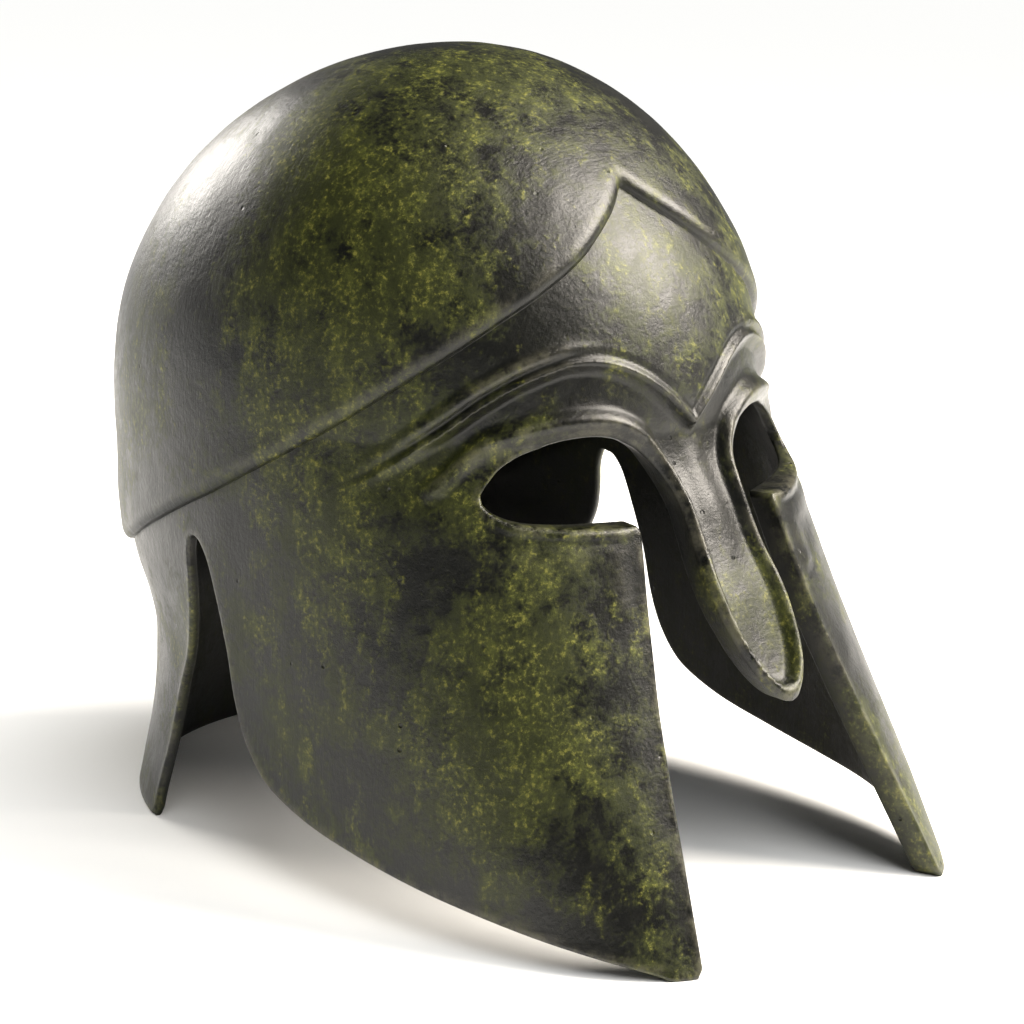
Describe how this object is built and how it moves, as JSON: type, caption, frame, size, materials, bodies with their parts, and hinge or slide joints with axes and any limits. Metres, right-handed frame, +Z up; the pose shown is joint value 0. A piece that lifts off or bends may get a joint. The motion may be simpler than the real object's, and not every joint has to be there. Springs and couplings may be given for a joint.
{
  "type": "helmet",
  "caption": "Corinthian helmet cast in bronze: raised skull with a pointed brow line, brow ribs, almond eye openings, long nasal, forward-swept cheek pieces and flared neck guard",
  "frame": {"origin": "middle of the footprint, on the surface that the cheek points and the neck guard stand on", "axes": "+X is the wearer's left, +Y runs from the face to the back of the head, +Z is up; the helmet is symmetric about X = 0"},
  "size_m": [0.2082, 0.3102, 0.2675],
  "materials": {
    "patinated_bronze": "dark green-black patina, satin"
  },
  "bodies": {
    "root": {"helmet_shell": "patinated_bronze"}
  },
  "joints": []
}
